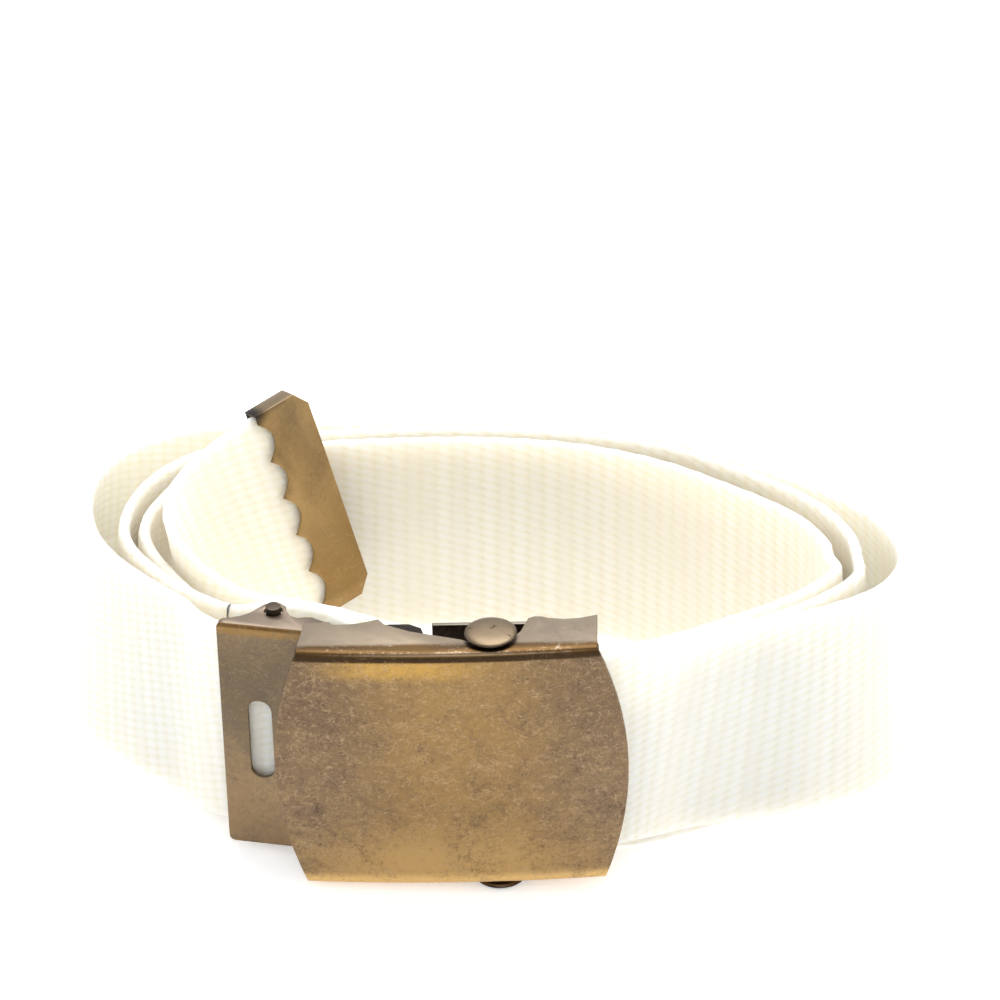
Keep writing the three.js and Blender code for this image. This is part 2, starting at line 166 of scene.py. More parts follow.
strap = {
    "width": 38.0,
    "half": 0.93,            # half the thickness between the ribs' crests and grooves
    "column": 2.6,           # from one warp column to the next
    "crest": 0.08,
    "groove": 0.06,
    "rows": 23,              # pills across the width
    "margin": 0.9,           # from the woven edge to the first pill
    "bead": 0.3,
    "coilCentre": (1.0, 44.0),
    "origin": (-2.16, -39.19),
    # bearing, radius, second, third, lean, lift: the outer turn round the coil's centre, how far inside
    # it the next two turns run, how far the wall's top tips in, and how high the lower edge runs
    "turn": [
        (62, 53.4, 2.8, 2.4, 1.0, 2.6), (75, 58.9, 3.2, 2.8, 2.6, 1.1), (84, 63.9, 4.5, 3.3, 4.0, 0.3),
        (91, 66.9, 6.2, 3.9, 4.8, 0), (98, 68.6, 8.0, 4.4, 4.9, 0), (105, 68.5, 8.9, 4.3, 4.6, 0),
        (112, 65.8, 8.5, 3.7, 3.8, 0), (120, 60.2, 7.1, 3.2, 2.4, 0), (130, 51.4, 4.8, 3.1, 0.9, 0),
        (142, 43.2, 3.0, 3.2, 0, 0), (158, 38.2, 2.4, 3.3, 0, 0), (180, 36.7, 2.4, 3.4, 0, 0),
        (203, 39.4, 2.4, 3.9, 0, 0), (222, 44.9, 2.4, 5.0, 0, 0), (238, 51.4, 2.6, 5.5, 0.5, 0),
        (250, 59.9, 3.9, 5.3, 1.6, 0), (259, 66.9, 6.2, 4.9, 2.8, 0), (268, 70.6, 7.5, 4.6, 3.8, 0),
        (276, 68.4, 5.5, 4.0, 4.0, 0), (286, 59.6, 3.3, 3.0, 3.0, 0.5), (297, 51.0, 2.4, 2.5, 1.4, 1.7),
    ],
    # x, y, lift, lean: the stretches between the turns, in plan
    "fixedEnd": [(-26.3, 7.3, 4.6, -0.4), (-31.3, 8.05, 4.7, -0.4), (-36.2, 9.05, 4.6, -0.4), (-40.7, 12.3, 3.8, 0)],
    "throughBuckle": [
        (38.2, 15.2, 3.2, 0), (31.5, 9.8, 4.6, 0), (24.3, 5.35, 5.0, 0), (17.0, 2.3, 4.7, 0),
        (9.1, 0.2, 4.3, 0), (3.1, 0.35, 4.0, 0), (-2.8, 1.1, 4.4, 0), (-8.2, 3.4, 4.6, 0),
        (-13.0, 7.9, 4.6, 0), (-17.6, 12.5, 4.4, 0), (-23.2, 16.2, 3.9, 0), (-30.5, 17.95, 3.0, 0),
        (-37.5, 18.4, 2.1, 0),
    ],
    "behindBuckle": [
        (36.5, 17.2, 0, 0), (28.5, 13.3, 0, 0), (17.5, 11.8, 0, 0), (6.0, 11.9, 0, 0), (-3.0, 13.0, 0, 0),
        (-11.0, 15.6, 0, 0), (-20.0, 18.9, 0, 0), (-29.5, 20.4, 0, 0), (-36.8, 20.9, 0, 0),
    ],
    "innermost": [
        (35.5, 19.9, 0, 0), (27.8, 16.0, 0, 0), (17.0, 14.4, 0, 0), (6.0, 14.7, 0, 0), (-4.0, 16.2, 0, 0),
        (-12.0, 18.7, 0.1, 0), (-20.6, 21.7, 0.3, 0), (-29.4, 23.3, 0.7, 0), (-36.2, 24.2, 1.2, 0),
        (-42.8, 28.6, 2.2, 1), (-46.8, 34.6, 3.8, 0), (-47.8, 41.0, 5.6, -3), (-45.6, 47.0, 7.6, -7),
        (-41.2, 52.2, 9.6, -12), (-36.5, 56.7, 11.3, -13.8), (-32.0, 60.9, 12.4, -13.8), (-28.1, 64.4, 13.3, -13.8),
    ],
}


def curveThrough(points, steps):
    # a smooth curve through the points, in steps pieces for each stretch between two of them
    chain = [points[0] * 2 - points[1]] + points + [points[-1] * 2 - points[-2]]
    line = []
    for i in range(len(points) - 1):
        p0, p1, p2, p3 = chain[i:i + 4]
        d0, d1, d2 = (math.sqrt((b - a).length) for a, b in ((p0, p1), (p1, p2), (p2, p3)))
        m1 = ((p1 - p0) / d0 - (p2 - p0) / (d0 + d1) + (p2 - p1) / d1) * d1
        m2 = ((p2 - p1) / d1 - (p3 - p1) / (d1 + d2) + (p3 - p2) / d2) * d1
        for k in range(steps):
            t = k / steps
            line.append(p1 + m1 * t + (p1 * -3 + p2 * 3 - m1 * 2 - m2) * t ** 2 + (p1 * 2 - p2 * 2 + m1 + m2) * t ** 3)
    return line + [points[-1]]


def turnControls(inset, lift):
    # one turn round the coil, set in from the outer one
    middleX, middleY = strap["coilCentre"]
    outer = [Vector((middleX - r[1] * math.sin(math.radians(r[0])), middleY - r[1] * math.cos(math.radians(r[0])), 0))
             for r in strap["turn"]]
    line = curveThrough(outer, 500)
    controls = []
    for i, row in enumerate(strap["turn"]):
        along = (line[min(i * 500 + 1, len(line) - 1)] - line[max(i * 500 - 1, 0)]).normalized()
        at = outer[i] + Vector((along.y, -along.x, 0)) * inset(row)
        controls.append((at.x, at.y, lift(row), row[4]))
    return controls


def strapStations():
    # (lower edge's middle, along, up, outward) every half column, in millimetres
    rows = (strap["fixedEnd"] + turnControls(lambda r: 0, lambda r: r[5]) + strap["throughBuckle"]
            + turnControls(lambda r: r[2], lambda r: r[5] if r[0] < 180 else 0) + strap["behindBuckle"]
            + turnControls(lambda r: r[2] + r[3], lambda r: 0) + strap["innermost"])
    fine = 60
    line = curveThrough([Vector(row[:3]) for row in rows], fine)
    run = [0.0]
    for a, b in zip(line, line[1:]):
        run.append(run[-1] + (b - a).length)
    count = round(run[-1] / strap["column"]) * 2
    stations = []
    k = 0
    for i in range(count + 1):
        wanted = run[-1] * i / count
        while k < len(run) - 2 and run[k + 1] < wanted:
            k += 1
        part = (wanted - run[k]) / (run[k + 1] - run[k])
        place = (k + part) / fine
        row = min(int(place), len(rows) - 2)
        t = place - row
        lean = math.radians(rows[row][3] + (rows[row + 1][3] - rows[row][3]) * (3 - 2 * t) * t * t)
        middle = line[k].lerp(line[k + 1], part)
        along = (line[min(k + 2, len(line) - 1)] - line[max(k - 1, 0)]).normalized()
        inward = Vector((along.y, -along.x, 0)).normalized()
        up = Vector((0, 0, math.cos(lean))) + inward * math.sin(lean)
        up = (up - along * up.dot(along)).normalized()
        middle.z = max(middle.z, 0) + strap["width"] / 2 * math.cos(lean) + abs(math.sin(lean))
        middle += Vector(strap["origin"] + (0,))
        stations.append((middle, up, along.cross(up).normalized()))
    return stations, run[-1]


def makeStrap():
    # the webbing's relief is in the mesh: warp columns parted by grooves, pills staggered half a row
    # from column to column, and a beaded woven edge
    stations, length = strapStations()
    pills = strap["rows"] * 2
    step = (strap["width"] - 2 * strap["margin"]) / pills
    mesh = bpy.data.meshes.new("web_strap_woven")
    work = bmesh.new()
    flat = work.loops.layers.uv.new("flat")
    rings = []
    for j, (middle, up, outward) in enumerate(stations):
        inColumn = j % 2 == 1
        stagger = (j // 2) % 2
        bead = abs(math.sin(math.pi * j / 4)) * strap["bead"]
        section = []
        for side in (1, -1):
            edge = [(0.3 - bead, 0.34), (0.42, 0.74)]
            face = []
            for i in range(pills + 1):
                rise = (strap["crest"] if (i + stagger) % 2 == 0 else 0.0) if inColumn else -strap["groove"]
                face.append((strap["margin"] + step * i, strap["half"] + rise))
            rows = edge + face + [(strap["width"] - v, t) for v, t in reversed(edge)]
            rows = rows if side > 0 else rows[::-1]
            section += [(v, t * side) for v, t in rows]
        ring = []
        for v, t in section:
            at = (middle + up * (v - strap["width"] / 2) + outward * t) * mm
            ring.append((work.verts.new(at), v * mm))
        rings.append((ring, length * j / (len(stations) - 1) * mm))
    size = len(rings[0][0])
    for (near, u0), (far, u1) in zip(rings, rings[1:]):
        for i in range(size):
            k = (i + 1) % size
            face = work.faces.new((near[i][0], far[i][0], far[k][0], near[k][0]))
            face.smooth = True
            for loop, place in zip(face.loops, ((u0, near[i][1]), (u1, far[i][1]), (u1, far[k][1]), (u0, near[k][1]))):
                loop[flat].uv = place
    for ring, u in (rings[0], rings[-1]):
        # the cut ends are closed strip by strip between the two faces of the webbing
        corners = [vert for vert, v in ring]
        places = [v for vert, v in ring]
        half = size // 2
        for i in range(half - 1):
            j = size - 1 - i
            face = work.faces.new((corners[i], corners[i + 1], corners[j - 1], corners[j]))
            for loop in face.loops:
                loop[flat].uv = (u, places[i])
    bmesh.ops.recalc_face_normals(work, faces=work.faces)
    work.to_mesh(mesh)
    work.free()
    piece = bpy.data.objects.new("web_strap_woven", mesh)
    bpy.context.collection.objects.link(piece)
    belongs(piece, makeCottonWebbing(step * 2), "cotton_webbing", "web_strap")
    print("strap woven,", round(length), "mm long,", len(mesh.polygons), "faces")


webbingLook = {
    "yarn": "#faf1dc",
    "lit": "#fcf5e8",
    "shade": "#ecdfc6",
    "uneven": "#f4e9d5",     # what some of the columns lean to
    "slant": 0.5,            # how far a pill climbs across its column, in pills
    "wobble": 0.18,
    "bump": 0.20,
    "fibre": (1400.0, 3600.0, 1.0),      # fibres per metre along and across the strap
    "fibreShare": 0.22,
    "plainEdge": (0.8, 0.2),             # the weave fades out this far from the woven edge, in millimetres
    "glowDepth": 6.0,                    # light goes this far into the cotton, in millimetres
    "glowReach": (1.0, 0.98, 0.93),
}


def makeCottonWebbing(pillPitch):
    # heavy cotton webbing, woven and undyed: matte, soft cream that goes nearly white where the light is
    # strong and lets some of it through, with warm shade painted into the soft grooves between its slanting pills
    material, tree, shader = newMaterial("undyedCottonWebbing", Roughness=0.92, Sheen_Weight=0.12,
                                         Sheen_Roughness=0.55, Subsurface_Weight=1.0,
                                         Subsurface_Scale=webbingLook["glowDepth"] * mm)
    shader.inputs["Subsurface Radius"].default_value = webbingLook["glowReach"]
    uv = addNode(tree, "ShaderNodeUVMap", uv_map="flat").outputs["UV"]
    place = addNode(tree, "ShaderNodeSeparateXYZ", {"Vector": uv})
    drift = addNode(tree, "ShaderNodeTexNoise", {"Vector": uv, "Scale": 420.0, "Detail": 2.0})
    sway = addNode(tree, "ShaderNodeMath", {0: drift.outputs["Fac"], 1: -0.5}, operation="ADD")
    sway = addNode(tree, "ShaderNodeMath", {0: sway.outputs[0], 1: webbingLook["wobble"] * 2}, operation="MULTIPLY")
    column = addNode(tree, "ShaderNodeMath", {0: place.outputs["X"], 1: 1 / (strap["column"] * mm)},
                     operation="MULTIPLY")
    parity = addNode(tree, "ShaderNodeMath", {0: column.outputs[0]}, operation="FLOOR")
    parity = addNode(tree, "ShaderNodeMath", {0: parity.outputs[0], 1: 2.0}, operation="MODULO")
    rib = addNode(tree, "ShaderNodeMath", {0: column.outputs[0], 1: sway.outputs[0]}, operation="ADD")
    rib = addNode(tree, "ShaderNodeMath", {0: rib.outputs[0], 1: math.pi}, operation="MULTIPLY")
    rib = addNode(tree, "ShaderNodeMath", {0: rib.outputs[0]}, operation="SINE")
    rib = addNode(tree, "ShaderNodeMath", {0: rib.outputs[0]}, operation="ABSOLUTE")
    rib = addNode(tree, "ShaderNodeMath", {0: rib.outputs[0], 1: 1.6}, operation="POWER")
    rib = addNode(tree, "ShaderNodeMath", {0: rib.outputs[0], 1: 0.55, 2: 0.45}, operation="MULTIPLY_ADD")
    row = addNode(tree, "ShaderNodeMath", {0: place.outputs["Y"], 1: -strap["margin"] * mm}, operation="ADD")
    row = addNode(tree, "ShaderNodeMath", {0: row.outputs[0], 1: 1 / (pillPitch * mm)}, operation="MULTIPLY")
    row = addNode(tree, "ShaderNodeMath", {0: parity.outputs[0], 1: 0.5, 2: row.outputs[0]}, operation="MULTIPLY_ADD")
    row = addNode(tree, "ShaderNodeMath", {0: row.outputs[0], 1: sway.outputs[0]}, operation="ADD")
    climb = addNode(tree, "ShaderNodeMath", {0: column.outputs[0]}, operation="FRACT")
    row = addNode(tree, "ShaderNodeMath", {0: climb.outputs[0], 1: webbingLook["slant"], 2: row.outputs[0]},
                  operation="MULTIPLY_ADD")
    pill = addNode(tree, "ShaderNodeMath", {0: row.outputs[0], 1: math.pi}, operation="MULTIPLY")
    pill = addNode(tree, "ShaderNodeMath", {0: pill.outputs[0]}, operation="COSINE")
    pill = addNode(tree, "ShaderNodeMath", {0: pill.outputs[0]}, operation="ABSOLUTE")
    pill = addNode(tree, "ShaderNodeMath", {0: pill.outputs[0], 1: 1.1}, operation="POWER")
    pill = addNode(tree, "ShaderNodeMath", {0: pill.outputs[0], 1: 0.6, 2: 0.4}, operation="MULTIPLY_ADD")
    weave = addNode(tree, "ShaderNodeMath", {0: rib.outputs[0], 1: pill.outputs[0]}, operation="MULTIPLY")
    # yarn fibres, drawn a little coarser than the real ones so that they show
    thread = addNode(tree, "ShaderNodeMapping", {"Vector": uv, "Scale": webbingLook["fibre"]})
    thread = addNode(tree, "ShaderNodeTexNoise", {"Vector": thread.outputs[0], "Scale": 1.0, "Detail": 3.0})
    weave = addNode(tree, "ShaderNodeMath",
                    {0: thread.outputs["Fac"], 1: webbingLook["fibreShare"], 2: weave.outputs[0]}, operation="MULTIPLY_ADD")
    # the woven edges are plain and smooth
    across = addNode(tree, "ShaderNodeMath", {0: place.outputs["Y"], 1: strap["width"] / 2 * mm}, operation="SUBTRACT")
    across = addNode(tree, "ShaderNodeMath", {0: across.outputs[0]}, operation="ABSOLUTE")
    fadeStart, fadeEnd = [(strap["width"] / 2 - inset) * mm for inset in webbingLook["plainEdge"]]
    plain = addNode(tree, "ShaderNodeMapRange",
                    {"Value": across.outputs[0], "From Min": fadeStart, "From Max": fadeEnd})
    weave = addNode(tree, "ShaderNodeMix", {"Factor": plain.outputs[0], 2: weave.outputs[0], 3: 0.85},
                    data_type="FLOAT")
    # painted shade and light: the ramp darkens the grooves and the gaps between pills and lightens the pill crests
    colour = addNode(tree, "ShaderNodeValToRGB", {"Fac": weave.outputs[0]},
                     stops=[(0.12, tone(webbingLook["shade"])), (0.55, tone(webbingLook["yarn"])),
                            (1.0, tone(webbingLook["lit"]))])
    # no two columns are spun quite alike
    number = addNode(tree, "ShaderNodeMath", {0: column.outputs[0]}, operation="FLOOR")
    lot = addNode(tree, "ShaderNodeTexWhiteNoise", {"W": number.outputs[0]}, noise_dimensions="1D")
    patch = addNode(tree, "ShaderNodeTexNoise", {"Vector": uv, "Scale": 60.0, "Detail": 2.0})
    lot = addNode(tree, "ShaderNodeMath", {0: lot.outputs["Value"], 1: patch.outputs["Fac"]}, operation="MULTIPLY")
    colour = addNode(tree, "ShaderNodeMix", {"Factor": lot.outputs[0], 6: colour.outputs["Color"],
                                             7: tone(webbingLook["uneven"])}, data_type="RGBA")
    bump = addNode(tree, "ShaderNodeBump", {"Height": weave.outputs[0], "Strength": 0.85,
                                            "Distance": webbingLook["bump"] * mm})
    tree.links.new(colour.outputs[2], shader.inputs["Base Color"])
    tree.links.new(bump.outputs["Normal"], shader.inputs["Normal"])
    return material


# Metal pieces: each takes its shape from its solid in the frame, with its edges eased

def shapeFromFrame(nodeName, pieceName, ease, sharp=35):
    # the frame's node is left alone: its mesh is copied and merged, and the copy's sharp edges are rounded
    piece = bpy.data.objects.new(pieceName, bpy.data.objects[nodeName].data.copy())
    bpy.context.collection.objects.link(piece)
    activate(piece)
    bpy.ops.object.mode_set(mode="EDIT")
    bpy.ops.mesh.select_mode(type="EDGE")
    bpy.ops.mesh.select_all(action="SELECT")
    bpy.ops.mesh.remove_doubles(threshold=0.002 * mm)
    bpy.ops.mesh.dissolve_limited(angle_limit=math.radians(0.5))
    bpy.ops.mesh.select_all(action="DESELECT")
    bpy.ops.mesh.edges_select_sharp(sharpness=math.radians(sharp))
    bpy.ops.mesh.bevel(offset=ease * mm, offset_type="OFFSET", segments=2, profile=0.6, clamp_overlap=True)
    bpy.ops.object.mode_set(mode="OBJECT")
    bpy.ops.object.shade_smooth_by_angle(angle=math.radians(32))
    return piece


# the buckle's own axes: it leans to its left and is turned a little, so wear that follows its edges is
# placed in millimetres from the middle of its face
buckleAxes = {"middle": (-1.96, -40.44, 24.46), "turn": (0.0, -2.0, 3.8)}


def metalSkin(name, look, axes=buckleAxes):
    # sheet metal under old lacquer: clouded colour, hair scratches, rubbed edges with a painted glint, and bands, some
    # rubbed or stained, some painted light and shade
    material, tree, shader = newMaterial(name, Metallic=1.0)
    place = addNode(tree, "ShaderNodeTexCoord").outputs["Object"]
    facing = addNode(tree, "ShaderNodeTexCoord").outputs["Normal"]
    facing = addNode(tree, "ShaderNodeSeparateXYZ", {"Vector": facing})
    own = addNode(tree, "ShaderNodeMapping",
                  {"Vector": place, "Location": Vector(axes["middle"]) * mm,
                   "Rotation": [math.radians(a) for a in axes["turn"]]}, vector_type="TEXTURE")
    own = addNode(tree, "ShaderNodeSeparateXYZ", {"Vector": own.outputs[0]})
    warp = addNode(tree, "ShaderNodeTexNoise", {"Vector": place, "Scale": 420.0, "Detail": 2.0})
    warped = addNode(tree, "ShaderNodeVectorMath", {0: warp.outputs["Color"], 1: (-0.5, -0.5, -0.5)}, operation="ADD")
    warped = addNode(tree, "ShaderNodeVectorMath", {0: warped.outputs[0], 1: (0.0016, 0.0016, 0.0016), 2: place},
                     operation="MULTIPLY_ADD")
    # clouding: a few millimetres across, with a finer grain in it
    cloud = addNode(tree, "ShaderNodeTexNoise",
                    {"Vector": warped.outputs[0], "Scale": 1 / (look["cloud"] * mm), "Detail": 3.0, "Roughness": 0.5})
    speck = addNode(tree, "ShaderNodeTexNoise",
                    {"Vector": warped.outputs[0], "Scale": 1 / (look["speck"] * mm), "Detail": 3.0, "Roughness": 0.6})
    blend = addNode(tree, "ShaderNodeMix",
                    {"Factor": look["speckShare"], 2: cloud.outputs["Fac"], 3: speck.outputs["Fac"]},
                    data_type="FLOAT").outputs[0]
    # a grit under half a millimetre gives the old lacquer its fine contrast
    grit = addNode(tree, "ShaderNodeTexNoise", {"Vector": place, "Scale": 1 / (0.42 * mm), "Detail": 2.0})
    grit = addNode(tree, "ShaderNodeMath", {0: grit.outputs["Fac"], 1: 0.5}, operation="SUBTRACT")
    blend = addNode(tree, "ShaderNodeMath", {0: grit.outputs[0], 1: look["grit"], 2: blend},
                    operation="MULTIPLY_ADD").outputs[0]
    colour = addNode(tree, "ShaderNodeValToRGB", {"Fac": blend},
                     stops=[(0.30, tone(look["dark"])), (0.45, tone(look["middle"])),
                            (0.58, tone(look["light"])), (0.72, tone(look["flush"]))]).outputs["Color"]
    # bands: an axis, the band's middle and half width along it, the same along a second axis, colour, strength
    def paintBand(colour, band):
        mask = band[7]
        for name, at, reach in (band[0:3], band[3:6]):
            far = addNode(tree, "ShaderNodeMath", {0: own.outputs[name], 1: at * mm}, operation="SUBTRACT")
            far = addNode(tree, "ShaderNodeMath", {0: far.outputs[0]}, operation="ABSOLUTE")
            near = addNode(tree, "ShaderNodeMapRange", {"Value": far.outputs[0], "From Min": reach * 0.15 * mm,
                                                        "From Max": reach * mm, "To Min": 1.0, "To Max": 0.0},
                           interpolation_type="SMOOTHSTEP")
            mask = addNode(tree, "ShaderNodeMath", {0: near.outputs[0], 1: mask}, operation="MULTIPLY").outputs[0]
        # every band, rubbed, stained or painted light and shade, is broken up by the clouding
        worn = addNode(tree, "ShaderNodeMapRange", {"Value": blend, "From Min": 0.30, "From Max": 0.55,
                                                    "To Min": 0.35})
        mask = addNode(tree, "ShaderNodeMath", {0: mask, 1: worn.outputs[0]}, operation="MULTIPLY").outputs[0]
        return addNode(tree, "ShaderNodeMix", {"Factor": mask, 6: colour, 7: tone(band[6])},
                       data_type="RGBA").outputs[2]

    for band in look["bands"]:
        colour = paintBand(colour, band)
    # hair scratches, a tenth or two of a millimetre wide and a few long, broken up along their run
    hairs = None
    for turn, span in look["hairs"]:
        lay = addNode(tree, "ShaderNodeMapping", {"Vector": warped.outputs[0], "Location": (turn * 0.01, 0.0, 0.02),
                                                  "Rotation": (0.0, turn, 0.0), "Scale": (1.0, 1.0, 1.5)})
        field = addNode(tree, "ShaderNodeTexNoise",
                        {"Vector": lay.outputs[0], "Scale": 1 / (span * mm), "Detail": 1.0})
        line = addNode(tree, "ShaderNodeMath", {0: field.outputs["Fac"], 1: 0.5}, operation="SUBTRACT")
        line = addNode(tree, "ShaderNodeMath", {0: line.outputs[0]}, operation="ABSOLUTE")
        line = addNode(tree, "ShaderNodeMapRange", {"Value": line.outputs[0], "From Min": 0.0, "From Max": 0.024,
                                                    "To Min": 1.0, "To Max": 0.0})
        gap = addNode(tree, "ShaderNodeTexNoise",
                      {"Vector": lay.outputs[0], "Scale": 0.7 / (span * mm), "Detail": 2.0})
        gap = addNode(tree, "ShaderNodeMapRange", {"Value": gap.outputs["Fac"], "From Min": 0.49, "From Max": 0.57})
        line = addNode(tree, "ShaderNodeMath", {0: line.outputs[0], 1: gap.outputs[0]},
                       operation="MULTIPLY").outputs[0]
        if hairs is not None:
            line = addNode(tree, "ShaderNodeMath", {0: hairs, 1: line}, operation="MAXIMUM").outputs[0]
        hairs = line
    strong = addNode(tree, "ShaderNodeMath", {0: hairs, 1: look["hairStrength"]}, operation="MULTIPLY").outputs[0]
    colour = addNode(tree, "ShaderNodeMix", {"Factor": strong, 6: colour, 7: tone(look["hair"])},
                     data_type="RGBA").outputs[2]
    # painted light: faces that look up take the 'top' colour, paler on most pieces, for the bright surround they face
    # and reflect
    up = addNode(tree, "ShaderNodeMapRange", {"Value": facing.outputs["Z"], "From Min": 0.45, "From Max": 0.97,
                                              "To Max": look["topStrength"]})
    colour = addNode(tree, "ShaderNodeMix", {"Factor": up.outputs[0], 6: colour, 7: tone(look["top"])},
                     data_type="RGBA").outputs[2]
    # edges rubbed bare, with a painted glint: the edge colour goes where the surface turns within a fraction of a
    # millimetre
    rounded = addNode(tree, "ShaderNodeBevel", {"Radius": look["edgeWidth"] * mm}, samples=4)
    plain = addNode(tree, "ShaderNodeNewGeometry").outputs["Normal"]
    turnOver = addNode(tree, "ShaderNodeVectorMath", {0: rounded.outputs[0], 1: plain}, operation="DOT_PRODUCT")
    edge = addNode(tree, "ShaderNodeMapRange", {"Value": turnOver.outputs["Value"], "From Min": 0.99, "From Max": 0.86,
                                                "To Max": look["edgeStrength"]})
    colour = addNode(tree, "ShaderNodeMix", {"Factor": edge.outputs[0], 6: colour, 7: tone(look["edge"])},
                     data_type="RGBA").outputs[2]
    # bands laid over the edge colour: on the face plate a painted dark reflection along its top fold, on the end
    # bracket painted shade on the arm under the flange and a dark line along its fold
    for band in look["overBands"]:
        colour = paintBand(colour, band)
    rough = addNode(tree, "ShaderNodeMapRange", {"Value": blend, "From Min": 0.3, "From Max": 0.7,
                                                 "To Min": look["rough"][0], "To Max": look["rough"][1]})
    grain = addNode(tree, "ShaderNodeTexNoise", {"Vector": place, "Scale": 2600.0, "Detail": 3.0})
    height = addNode(tree, "ShaderNodeMath", {0: hairs, 1: -0.12, 2: grain.outputs["Fac"]}, operation="MULTIPLY_ADD")
    bump = addNode(tree, "ShaderNodeBump", {"Height": height.outputs[0], "Strength": 0.5, "Distance": 0.03 * mm})
    tree.links.new(colour, shader.inputs["Base Color"])
    tree.links.new(rough.outputs[0], shader.inputs["Roughness"])
    tree.links.new(bump.outputs["Normal"], shader.inputs["Normal"])
    return material


def makeFacePlate():
    # pressed brass sheet, antiqued and lacquered: brown, with gold in the middle and along its folds, partly rubbed
    # brass and partly a painted highlight, and painted darker towards the top
    facePlate = {
        "dark": "#564638", "middle": "#6d5a48", "light": "#7e684e", "flush": "#92795c",
        "cloud": 5.0, "speck": 1.1, "speckShare": 0.5, "grit": 0.45,
        "hair": "#b39a78", "hairStrength": 0.42, "hairs": [(0.3, 1.7), (1.1, 1.5), (1.9, 1.9), (2.7, 1.6)],
        "top": "#9a8c7a", "topStrength": 0.92, "edge": "#8a6e4c", "edgeStrength": 0.3, "edgeWidth": 0.4,
        "rough": (0.30, 0.46),
        "bands": [
            # painted shade: the face darker towards the top
            ("Z", 18.0, 30.0, "X", 0.0, 200.0, "#4f4135", 0.40),
            ("X", 1.0, 24.0, "Z", 0.0, 200.0, "#8d7147", 0.80),
            # gold below the top fold, towards the bottom and along the bottom fold: partly rubbed brass, partly
            # painted highlight and reflection
            ("Z", -22.0, 14.0, "X", -2.0, 36.0, "#b89662", 0.90),
            ("Z", 19.8, 3.2, "X", -8.0, 17.0, "#ab8748", 1.0),
            ("Z", -22.6, 2.6, "X", 0.0, 90.0, "#d8b478", 1.3),
        ],
        "overBands": [
            # painted reflection: dark brown lines along the top fold, laid over the edge colour so the fold shows no
            # bright line
            ("Z", 21.5, 0.75, "X", 0.0, 200.0, "#3a2c1e", 1.6),
            ("Z", 22.5, 1.0, "Y", 0.3, 2.0, "#5a442a", 1.6),
        ],
    }
    piece = shapeFromFrame("face_plate", "face_plate_antiqued", 0.16)
    belongs(piece, metalSkin("antiquedBrassSheet", facePlate), "antique_brass", "face_plate")
    print("face plate finished")


def makeBackPlate():
    # plain steel plate: grey-brown and dull, coloured dark all over as painted shade for the pocket it sits in
    backPlate = {
        "dark": "#332c26", "middle": "#40372f", "light": "#4c4239", "flush": "#5c5146",
        "cloud": 4.0, "speck": 1.0, "speckShare": 0.3, "grit": 0.2,
        "hair": "#7a6f62", "hairStrength": 0.25, "hairs": [(0.7, 1.6)],
        "top": "#8a8378", "topStrength": 0.8, "edge": "#6d665b", "edgeStrength": 0.35, "edgeWidth": 0.3,
        "rough": (0.34, 0.5), "bands": [], "overBands": [],
    }
    piece = shapeFromFrame("back_plate", "back_plate_plain", 0.15)
    belongs(piece, metalSkin("dullSteelPlate", backPlate), "grey_steel", "back_plate")
    print("back plate finished")


def makeLockBar():
    # turned steel bar with upset heads, blackened: dark brown, with the upper head's end painted pale where it faces
    # up (painted light)
    lockBar = {
        "dark": "#2e2520", "middle": "#3c3028", "light": "#4a3b2e", "flush": "#5e4c3c",
        "cloud": 2.5, "speck": 0.8, "speckShare": 0.4, "grit": 0.2,
        "hair": "#8a7660", "hairStrength": 0.0, "hairs": [(0.2, 9.0)],
        "top": "#776854", "topStrength": 0.95, "edge": "#64564a", "edgeStrength": 0.25, "edgeWidth": 0.3,
        "rough": (0.32, 0.46), "bands": [], "overBands": [],
        "dish": [(0.75, 0.0), (0.45, -0.16)],    # the upper head's end: inset and depth of each step
    }
    piece = shapeFromFrame("lock_bar", "lock_bar_blackened", 0.18)
    activate(piece)
    high = max(v.co.z for v in piece.data.vertices)
    bpy.ops.object.mode_set(mode="EDIT")
    bpy.ops.mesh.select_mode(type="FACE")
    bpy.ops.mesh.select_all(action="DESELECT")
    bpy.ops.object.mode_set(mode="OBJECT")
    ends = [face for face in piece.data.polygons if face.normal.z > 0.97 and face.center.z > high - 0.6 * mm]
    max(ends, key=lambda face: face.area).select = True
    bpy.ops.object.mode_set(mode="EDIT")
    for step in lockBar["dish"]:
        bpy.ops.mesh.inset(thickness=step[0] * mm, depth=step[1] * mm)
    bpy.ops.object.mode_set(mode="OBJECT")
    belongs(piece, metalSkin("blackenedSteelBar", lockBar), "dark_steel", "lock_bar")
    print("lock bar finished")


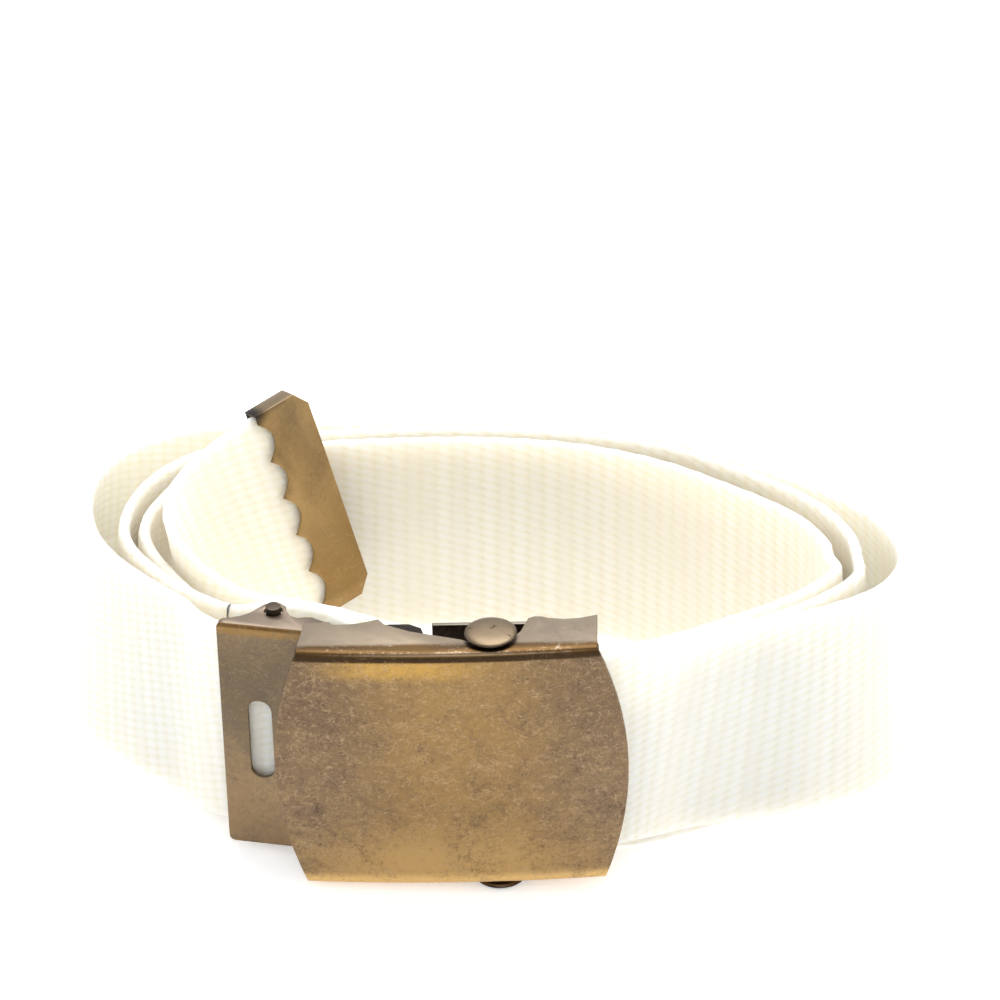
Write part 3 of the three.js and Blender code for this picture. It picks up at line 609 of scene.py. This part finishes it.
def makeEndBracket():
    # folded brass sheet, antiqued and worn: olive brown with a gold fold (a painted highlight), pinkish grey
    # on its ear's upward faces (painted light), and its arm under the flange darkened with painted shade
    endBracket = {
        "dark": "#5c5145", "middle": "#6c5e4d", "light": "#7a6951", "flush": "#8a745c",
        "cloud": 4.0, "speck": 0.9, "speckShare": 0.45, "grit": 0.35,
        "hair": "#a08868", "hairStrength": 0.26, "hairs": [(0.9, 1.3), (2.3, 1.7), (1.6, 1.4)],
        "top": "#928476", "topStrength": 0.9, "edge": "#745c3a", "edgeStrength": 0.5, "edgeWidth": 0.4,
        "rough": (0.30, 0.48),
        "bands": [
            # painted shade and light: darker towards the top, a painted gold highlight along the fold, lighter towards
            # the bottom
            ("Z", 9.0, 15.0, "X", -33.0, 30.0, "#4b4137", 0.5),
            ("Z", 20.4, 1.7, "X", -33.0, 30.0, "#8a6a3c", 0.8),
            ("Z", -15.0, 15.0, "X", -33.0, 30.0, "#93795a", 0.7),
        ],
        "overBands": [
            # painted shade on the arm under the flange, then a dark brown line along the top of the fold
            ("X", -5.0, 22.0, "Y", 6.0, 30.0, "#2c2621", 1.7),
            ("Z", 21.0, 0.6, "X", -33.0, 22.0, "#4e361c", 0.9),
        ],
    }
    piece = shapeFromFrame("end_bracket", "end_bracket_worn", 0.15)
    belongs(piece, metalSkin("wornBrassSheet", endBracket), "worn_brass", "end_bracket")
    print("end bracket finished")


def makeClampPin():
    # drawn steel pin, blackened and rough where it was cut
    clampPin = {
        "dark": "#2c2621", "middle": "#3c342d", "light": "#4a4038", "flush": "#5c5046",
        "cloud": 1.6, "speck": 0.6, "speckShare": 0.5, "grit": 0.3,
        "hair": "#7a6c5c", "hairStrength": 0.3, "hairs": [(1.1, 1.0)],
        "top": "#5a4f45", "topStrength": 0.6, "edge": "#8a7c6a", "edgeStrength": 0.4, "edgeWidth": 0.25,
        "rough": (0.4, 0.6), "bands": [], "overBands": [],
    }
    piece = shapeFromFrame("clamp_pin", "clamp_pin_blackened", 0.15)
    belongs(piece, metalSkin("blackenedSteelPin", clampPin), "dark_steel", "clamp_pin")
    print("clamp pin finished")


def makeStrapTip():
    # stamped brass sheet pressed over the strap's end: satin, with dull grey teeth and a dark corner
    strapTip = {
        "dark": "#8c7554", "middle": "#997f59", "light": "#a4885e", "flush": "#ab9065",
        "cloud": 5.0, "speck": 0.8, "speckShare": 0.35, "grit": 0.25,
        "hair": "#c4a677", "hairStrength": 0.22, "hairs": [(0.5, 1.6), (2.1, 1.2)],
        "top": "#8b7a63", "topStrength": 0.9, "edge": "#a1834f", "edgeStrength": 0.45, "edgeWidth": 0.3,
        "rough": (0.28, 0.42), "bands": [("Z", -17.0, 20.0, "X", 0.0, 90.0, "#846840", 0.85)],
        "overBands": [
            ("X", -5.9, 1.9, "Z", 0.0, 90.0, "#5a544c", 1.3),
            ("Z", 20.8, 4.0, "X", -5.5, 3.6, "#35312d", 1.5),
        ],
    }
    stations, length = strapStations()
    (before, u0, o0), (end, up, o1) = stations[-8], stations[-1]
    along = (end - before).normalized()
    middle = end + along * 1.9 - along * 4.4
    turned = Matrix((along, up.cross(along), up)).transposed().to_euler()
    axes = {"middle": middle, "turn": [math.degrees(a) for a in turned]}
    piece = shapeFromFrame("strap_tip", "strap_tip_stamped", 0.12)
    belongs(piece, metalSkin("satinBrassSheet", strapTip, axes), "tip_brass", "strap_tip")
    print("strap tip finished")


makeStudio()
makeStrap()
makeFacePlate()
makeBackPlate()
makeLockBar()
makeEndBracket()
makeClampPin()
makeStrapTip()
